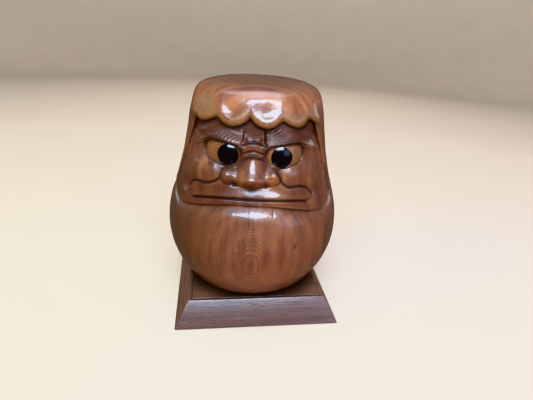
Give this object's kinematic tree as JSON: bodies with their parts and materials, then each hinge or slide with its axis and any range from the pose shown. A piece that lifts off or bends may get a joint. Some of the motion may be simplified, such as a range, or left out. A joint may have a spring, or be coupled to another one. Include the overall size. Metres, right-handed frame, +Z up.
{
  "type": "daruma doll",
  "caption": "Carved wooden daruma doll with a scowling face under a scalloped hood, black inlaid pupils, standing on a separate low mitred hardwood stand it turns on and lifts off.",
  "frame": {"origin": "middle of the underside of the stand's felt pads", "axes": "+Z up, the stand's front faces -Y, +X to the right as seen from the front; the doll is turned 8 degrees clockwise (seen from above) on the stand"},
  "size_m": [0.1673, 0.1674, 0.2185],
  "materials": {
    "carved_wood": "glossy clear varnish over reddish-brown carved wood",
    "pupil_black": "polished black",
    "stand_wood": "satin varnish over dark purplish-brown hardwood",
    "pale_wood": "bare, unvarnished",
    "felt": "pressed felt"
  },
  "bodies": {
    "stand": {"stand_top": "stand_wood", "stand_front": "stand_wood", "stand_back": "stand_wood", "stand_left": "stand_wood", "stand_right": "stand_wood", "glue_block_front_left": "pale_wood", "glue_block_front_right": "pale_wood", "glue_block_back_left": "pale_wood", "glue_block_back_right": "pale_wood", "pad_front_left": "felt", "pad_front_right": "felt", "pad_back_left": "felt", "pad_back_right": "felt"},
    "dowel": {"locating_dowel": "pale_wood"},
    "doll": {"doll_body": "carved_wood", "left_pupil": "pupil_black", "right_pupil": "pupil_black"}
  },
  "joints": [
    {"name": "turn", "type": "hinge", "parent": "stand", "child": "dowel", "pos_m": [0, 0, 0.0235], "axis": [0, 0, 1], "continuous": true},
    {"name": "lift", "type": "slide", "parent": "dowel", "child": "doll", "axis": [0, 0, 1], "range_m": [0, 0.06]}
  ]
}
